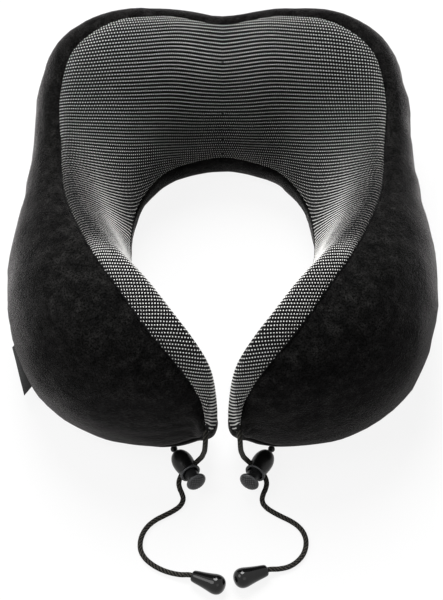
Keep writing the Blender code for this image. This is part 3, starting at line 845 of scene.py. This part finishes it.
tape("tape_upper", ZIP_Z + .2, ZIP_Z + TAPE_W, "zip_tape_upper")
tape("tape_lower", ZIP_Z - TAPE_W, ZIP_Z - .2, "zip_tape_lower")
coil_teeth()

# Label
LABEL_Y = (-41, -74)  # its two ends on the side seam
LABEL_FREE = np.array(((-138.5, -47.2, 10.5), (-129.4, -82.2, 10.5)))
LABEL_THICK = .62
LABEL_STEPS = (25, 9)


def side_label():
    """The sewn-in tab: from the side seam to its free edge, with a slight bow."""
    seam = SURF[:ROWS // 2, RAIL["side_seam"] * AROUND]
    seam = seam[np.argsort(seam[:, 1])]
    n, m = LABEL_STEPS
    top, low, weave = [], [], []
    for f in (k / (n - 1) for k in range(n)):
        y = LABEL_Y[0] + (LABEL_Y[1] - LABEL_Y[0]) * f
        root = np.array([np.interp(y, seam[:, 1], seam[:, a]) for a in range(3)])
        out = LABEL_FREE[0] + (LABEL_FREE[1] - LABEL_FREE[0]) * f - root
        wide = np.linalg.norm(out)
        out /= wide
        up = np.array([0, 0, 1]) - out * out[2]
        up /= np.linalg.norm(up)
        for g in (k / (m - 1) for k in range(m)):
            bow = .55 * math.sin(math.pi * g) * math.sin(math.pi * f) ** .5 + .12 * math.sin(9 * f + 2 * g)
            p = root + out * (.3 + (wide - .3) * g) + up * (bow + .1)
            top.append(to_row(p + up * LABEL_THICK))
            low.append(to_row(p))
            weave.append((f * .034, g * wide * MM))
    label = add_mesh("label", top + low, sheet_faces(n, m), MAT["ribbon"])
    uv = label.data.uv_layers.new(name="weave")
    for loop in label.data.loops:
        uv.data[loop.index].uv = weave[loop.vertex_index % (n * m)]
    stands_for(label, "pillow", "ribbon", "side_label")


side_label()

# Cords, locks and bell ends
CORD_D = 3.4
LOCK_AT, LOCK_DIR, LOCK_Z = (-22.4, -134.2), (.478, -.878), 9.2
CROSS_AT, LOCK_TRAVEL = 19.8, 4.0
LOCK_RISE, LOCK_ROLL = math.radians(16), math.radians(22)
BORE_R, SLOT_R, CUT_HALF = 2.3, 2.1, 9
THROUGH = (-5.2, -2.6, 0, 2.4, 4.6)  # the cord's points on its way through the lock
SPRING = (3.9, 0.35, 8.4, 14.8, 4)  # radius, wire radius, start, end, turns
CORD_TIP = [(-10.6, -125.3, 50), (-10.7, -128.0, 49.8), (-10.8, -130.5, 48.7), (-11.0, -132.6, 45.7),
            (-11.2, -133.1, 41.0), (-11.6, -132.5, 34), (-12.6, -131.1, 25.5), (-13.6, -129.9, 18.6),
            (-15.5, -129.8, 14.0)]
CORD_LAID = {
    "left": [(-27.5, -139.0, 6.0), (-28.2, -141.9, 4.7), (-27.5, -145.2, 3.3), (-26.2, -148.1, 2.3),
             (-25.4, -151.1, 1.75), (-26.0, -154.2, 1.75), (-27.7, -156.8, 1.75), (-31.4, -159.7, 1.75),
             (-37.2, -163.0, 1.75), (-43.1, -166.4, 1.75), (-47.9, -170.7, 1.75), (-51.1, -176.1, 1.75),
             (-52.4, -181.6, 1.75), (-52.0, -187.0, 1.75), (-49.5, -191.9, 1.75), (-45.3, -196.0, 1.75),
             (-39.7, -199.5, 1.75), (-33.3, -202.0, 1.8), (-27.0, -203.6, 2.6)],
    "right": [(27.5, -139.0, 6.0), (28.2, -141.9, 4.7), (27.5, -145.2, 3.3), (26.1, -148.3, 2.3),
              (25.3, -151.6, 1.75), (25.9, -154.8, 1.75), (28.0, -157.6, 1.75), (32.5, -160.9, 1.75),
              (37.9, -164.0, 1.75), (43.3, -166.9, 1.75), (47.9, -170.3, 1.75), (51.2, -174.6, 1.75),
              (52.8, -179.4, 1.75), (52.7, -184.6, 1.75), (50.8, -190.0, 1.75), (47.0, -194.6, 1.75),
              (42.0, -197.9, 1.75), (36.0, -199.6, 2.2)],
}
IN_BELL = (-.8, 4, 8.4)  # the cord's last points, along the bell from its mouth
BELL_AT = {
    "left": ((-19.2, -204.9, 4.25), (.911, -.412, .142)),
    "right": ((27.9, -201.2, 4.25), (-.928, -.373, .142)),
}
# Outlines as (radius, height)
BARREL_SKIN = [(0, -2.3), (1.6, -1.7), (2.3, 0), (1.7, 1.6), (1.9, 3.2), (4.5, 5.3), (6.1, 8.4), (6.8, 12.2),
               (6.7, 15.6), (6.3, 19.4), (6.1, 21.8)]
BARREL_RIM = [(6.35, 22.2), (6.65, 22.5), (6.85, 23.0), (6.8, 23.6), (6.45, 23.95), (6.0, 24.0), (5.5, 23.85),
              (5.0, 23.4)]
BARREL_BORE = [(4.9, 23.1), (4.9, 8.8), (3.9, 8.0), (0, 8.0)]
PLUNGER_SHAFT = [(0, 15.2), (4.0, 15.2), (4.5, 15.7), (4.5, 29.7)]
PLUNGER_CAP = [(4.6, 29.85), (5.1, 30.05), (5.8, 30.35), (6.4, 30.85), (6.65, 31.5), (6.5, 32.15),
               (6.1, 32.65)]
PLUNGER_DOME = [(6.1, 32.65), (5.0, 33.35), (3.5, 34.0), (1.8, 34.45), (0, 34.6)]
DOME_LOW, DOME_TOP = 32.7, 34.6
KNURL_PITCH, KNURL_DEPTH = 1.9, .32
BELL = [(0, 9.0), (1.9, 9.0), (2.0, 8.8), (2.05, .35), (2.3, .05), (2.7, 0), (3.1, .2), (3.5, .6),
        (3.75, 1.1), (3.95, 2), (4.2, 3.4), (4.5, 5.5), (4.85, 7.6), (5.3, 10), (5.8, 12.4), (6.2, 14.2),
        (6.45, 15.6), (6.5, 16.8), (6.4, 17.9), (6.1, 19.0), (5.6, 20.0), (4.9, 20.85), (4.0, 21.55),
        (2.9, 22.1), (1.5, 22.4), (0, 22.5)]
BRAID_STRANDS, BRAID_PITCH, BRAID_DEPTH = 8, 10.0, .24
BRAID_SIDES, BRAID_STEP = 32, .34


def turned(name, profile, steps, mat, place, angle=40):
    """A piece turned about local Z from an outline in millimetres, then put in its place."""
    V, rings, F = [], [], []
    for r, z in profile:
        if r < 1e-6:
            rings.append([len(V)])
            V.append((0, 0, z * MM))
        else:
            rings.append(list(range(len(V), len(V) + steps)))
            turns = [2 * math.pi * k / steps for k in range(steps)]
            V += [(r * MM * math.cos(a), r * MM * math.sin(a), z * MM) for a in turns]
    for a, b in zip(rings, rings[1:]):
        for k in range(steps):
            corners = (a[k % len(a)], a[(k + 1) % len(a)], b[(k + 1) % len(b)], b[k % len(b)])
            face = tuple(dict.fromkeys(corners))
            if len(face) > 2:
                F.append(face)
    ob = add_mesh(name, V, F, mat, angle=angle)
    ob.data.transform(place)
    return ob


def oblong_bar(name, r, lo, hi, place):
    """A bar along local X, for cutting, whose ends are round from height lo and up to height hi."""
    outline = [(r * math.cos(a), lo + r + r * math.sin(a)) for a in np.linspace(math.pi, 2 * math.pi, 13)]
    outline += [(r * math.cos(a), hi - r + r * math.sin(a)) for a in np.linspace(0, math.pi, 13)]
    n = len(outline)
    V = [(x, *p) for x in (-CUT_HALF, CUT_HALF) for p in outline]
    F = [tuple(range(n)), tuple(range(2 * n - 1, n - 1, -1))]
    F += [(k, n + k, n + (k + 1) % n, (k + 1) % n) for k in range(n)]
    return cutting_bar(name, V, F, place)


def round_bar(name, r, at, steps, place):
    """A bar along local X, for cutting, at height `at`."""
    turns = [2 * math.pi * k / steps for k in range(steps)]
    V = [(x, r * math.cos(a), at + r * math.sin(a)) for x in (-CUT_HALF, CUT_HALF) for a in turns]
    F = [tuple(range(steps)), tuple(range(2 * steps - 1, steps - 1, -1))]
    F += [(k, steps + k, steps + (k + 1) % steps, (k + 1) % steps) for k in range(steps)]
    return cutting_bar(name, V, F, place)


def cutting_bar(name, verts, faces, place):
    me = filled_mesh(name, [tuple(c * MM for c in v) for v in verts], faces)
    me.transform(place)
    return linked(name, me)


def cut_away(ob, tool):
    """The tool's shape taken out of the object's mesh; the tool goes."""
    modifier = ob.modifiers.new(tool.name, "BOOLEAN")
    modifier.operation, modifier.object, modifier.solver = "DIFFERENCE", tool, "EXACT"
    bpy.context.view_layer.update()
    me = bpy.data.meshes.new_from_object(ob.evaluated_get(bpy.context.evaluated_depsgraph_get()))
    ob.modifiers.clear()
    ob.data = me
    me.shade_smooth()
    me.set_sharp_from_angle(angle=math.radians(35))
    bpy.data.objects.remove(tool, do_unlink=True)


def outline(points, steps):
    """A smooth outline through the points."""
    return [tuple(p) for p in smooth_rows(points, steps)]


def knurl(p):
    """How far a point stands out of a field of small squares, from -0.4 to 1."""
    turn = 2 * math.pi / KNURL_PITCH
    return max(math.cos(turn * p.x) * math.cos(turn * p.y), -.4)


def knurled(ob, place):
    """Small raised squares over the button's dome."""
    back = place.inverted()
    for v in ob.data.vertices:
        p = back @ v.co / MM
        if p.z > DOME_LOW:
            fade = min(1, (p.z - DOME_LOW) / (.25 * (DOME_TOP - DOME_LOW)))
            v.co = place @ (Vector((p.x, p.y, p.z + KNURL_DEPTH * fade * knurl(p))) * MM)


def paint_highlights(ob, place, share):
    """A float attribute over a turned piece that mixes in its painted highlights, from a function of the
    point in its own frame.
    """
    back = place.inverted()
    painted_highlight = ob.data.attributes.new("painted_highlight", "FLOAT", "POINT")
    painted_highlight.data.foreach_set("value", [share(back @ v.co / MM) for v in ob.data.vertices])


def barrel_highlight(p):
    """A painted highlight along the top of the barrel's lip."""
    return .9 * math.exp(-((p.z - 23.7) / .4)**2) if math.hypot(p.x, p.y) > 5.4 else 0.0


def button_highlight(p):
    """Painted highlights on the rim of the button and on the squares of its dome, and a faint painted sheen
    on the shaft.
    """
    rim = .8 * math.exp(-((p.z - 32.3) / .45)**2)
    shaft = .12 if p.z < 29.8 else 0.0
    square = max(knurl(p), 0) if p.z > DOME_LOW else 0.0
    return max(rim, shaft, square)


def lock_frame(hand):
    """The cord's way through the lock, the lock's axis, and where they cross; hand is 1 left and -1 right."""
    flat = Vector((LOCK_DIR[0] * hand, LOCK_DIR[1], 0)).normalized()
    axis = flat * math.cos(LOCK_RISE) + Vector((0, 0, math.sin(LOCK_RISE)))
    level = Vector((LOCK_DIR[1] * hand, -LOCK_DIR[0], 0)).normalized()
    way = level * math.cos(LOCK_ROLL) + axis.cross(level) * hand * math.sin(LOCK_ROLL)
    return way, axis, Vector((LOCK_AT[0] * hand, LOCK_AT[1], LOCK_Z))


def lock_barrel(side, place):
    skin = outline(BARREL_SKIN, 5) + outline(BARREL_RIM, 2) + BARREL_BORE
    barrel = turned("barrel_" + side, skin, 64, MAT["lock"], place)
    cut_away(barrel, round_bar("bore_" + side, BORE_R, CROSS_AT, 32, place))
    # a painted highlight on the barrel's lip
    paint_highlights(barrel, place, barrel_highlight)
    return stands_for(barrel, "pillow", "lock_plastic", "lock_barrel_" + side)


def lock_plunger(side, place):
    skin = PLUNGER_SHAFT + outline(PLUNGER_CAP, 2) + outline(PLUNGER_DOME, 6)[1:]
    plunger = turned("plunger_" + side + "_shape", skin, 96, MAT["button"], place)
    knurled(plunger, place)
    low, high = CROSS_AT - SLOT_R, CROSS_AT + SLOT_R + LOCK_TRAVEL
    cut_away(plunger, oblong_bar("slot_" + side, SLOT_R, low, high, place))
    # painted highlights on the button's rim and dome squares, and a faint painted sheen on its shaft
    paint_highlights(plunger, place, button_highlight)
    return stands_for(plunger, "plunger_" + side, "button_plastic", "lock_plunger_" + side)


def lock_spring(side, place):
    """The lock's coil spring, with a closed turn at each end."""
    radius, wire, low, top, turns = SPRING
    shares = (0, .5 / turns, 1 - .5 / turns, 1)
    heights = (low + wire, low + 2 * wire, top - 2 * wire, top - wire)
    path = []
    for share in (k / (30 * turns) for k in range(30 * turns + 1)):
        a = 2 * math.pi * turns * share
        z = np.interp(share, shares, heights)
        path.append(((radius - wire) * math.cos(a), (radius - wire) * math.sin(a), z))
    V, F = [], []
    tube(path, wire, 8, V, F)
    spring = add_mesh("spring_" + side, [p * MM for p in V], F, MAT["steel"], angle=60)
    spring.data.transform(place)
    stands_for(spring, "pillow", "spring_steel", "lock_spring_" + side)
    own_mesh(spring)
    return spring


def bell_end(side):
    at, axis = BELL_AT[side]
    place = Matrix.Translation(to_row(at)) @ Vector(axis).to_track_quat("Z", "Y").to_matrix().to_4x4()
    bell = turned("bell_" + side, BELL, 64, MAT["gloss"], place, angle=60)
    return stands_for(bell, "pillow", "gloss_plastic", "cord_end_" + side)


def braided(name, points, radius):
    """A braided cord: a tube whose skin rises and falls as two sets of crossing strands."""
    P = np.asarray(points, float)
    run = np.concatenate([[0], np.cumsum(np.linalg.norm(np.diff(P, axis=0), axis=1))])
    n = int(run[-1] / BRAID_STEP)
    s = np.linspace(0, run[-1], n)
    middle = np.stack([np.interp(s, run, P[:, i]) for i in range(3)], 1)
    T = np.gradient(middle, axis=0)
    T /= np.linalg.norm(T, axis=1, keepdims=True)
    up = np.cross(T[0], (.31, .87, .13))
    V, F, fleck = [], [], []
    for i in range(n):
        up = up - T[i] * (up @ T[i])
        up /= np.linalg.norm(up)
        across = np.cross(T[i], up)
        for k in range(BRAID_SIDES):
            a = 2 * math.pi * k / BRAID_SIDES
            u = BRAID_STRANDS * (a / (2 * math.pi) + s[i] / BRAID_PITCH)
            v = BRAID_STRANDS * (a / (2 * math.pi) - s[i] / BRAID_PITCH)
            over = math.cos(math.pi * (math.floor(u) + math.floor(v))) > 0
            strand = u if over else v
            h = math.cos(math.pi * (strand % 1 - .5))
            r = radius - BRAID_DEPTH + BRAID_DEPTH * h ** .6
            V.append(middle[i] + r * (up * math.cos(a) + across * math.sin(a)))
            fleck.append(1.0 if h > .72 and math.floor(strand) % 2 == 0 else 0.0)
    for i in range(n - 1):
        for k in range(BRAID_SIDES):
            a, b = i * BRAID_SIDES + k, i * BRAID_SIDES + (k + 1) % BRAID_SIDES
            F.append((a, b, b + BRAID_SIDES, a + BRAID_SIDES))
    F += [tuple(range(BRAID_SIDES)), tuple(range((n - 1) * BRAID_SIDES, n * BRAID_SIDES))[::-1]]
    ob = add_mesh(name, [to_row(p) for p in V], F, MAT["braid"], angle=180)
    ob.data.attributes.new("fleck", "FLOAT", "POINT").data.foreach_set("value", fleck)
    return ob, [to_row(p) for p in middle]


def drawcord(side, hand):
    """A cord with what is on it: out of the arm's tip, through the lock, over the surface, into the bell."""
    way, axis, cross = lock_frame(hand)
    place = Matrix((way, axis.cross(way), axis)).transposed().to_4x4()
    place.translation = to_row(cross - axis * CROSS_AT)
    barrel = lock_barrel(side, place)
    plunger = lock_plunger(side, place)
    spring = lock_spring(side, place)
    bell = bell_end(side)

    mouth, bell_axis = Vector(BELL_AT[side][0]), Vector(BELL_AT[side][1]).normalized()
    route = [Vector((x * hand, y, z)) for x, y, z in CORD_TIP]
    route += [cross + way * d for d in THROUGH]
    route += [Vector(p) for p in CORD_LAID[side]]
    route += [mouth + bell_axis * d for d in IN_BELL]
    fine = smooth_rows(np.array([tuple(p) for p in route]), 12)
    cord, path = braided("cord_" + side, fine, CORD_D / 2)
    stands_for(cord, "pillow", "braid", "drawcord_" + side)


drawcord("left", 1)
drawcord("right", -1)


# The zip's metal, which stays as the CAD has it, and the floor
def floor():
    """A pale floor that takes the object's shadow."""
    me = bpy.data.meshes.new("floor")
    corners = [(-3, -3, -.0004), (3, -3, -.0004), (3, 3, -.0004), (-3, 3, -.0004)]
    me.from_pydata(corners, [], [(0, 1, 2, 3)])
    m = Nodes("floor", (.9, .9, .9), 1.0, Specular_IOR_Level=0.0)
    white = m.new("Emission")
    white.inputs["Color"].default_value = (1, 1, 1, 1)
    mix = m.new("MixShader")
    m.link(background_rays(m.tree, FLOOR_WHITE), mix.inputs[0])
    m.link(m.shader.outputs[0], mix.inputs[1])
    m.link(white.outputs[0], mix.inputs[2])
    m.link(mix.outputs[0], m.tree.nodes["Material Output"].inputs["Surface"])
    me.materials.append(m.mat)
    linked("floor", me)


for node_name in ("zip_slider", "zip_pull", "zip_stop_left", "zip_stop_right"):
    node_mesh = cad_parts[node_name].data
    node_mesh.materials.clear()
    node_mesh.materials.append(MAT["metal"])
floor()
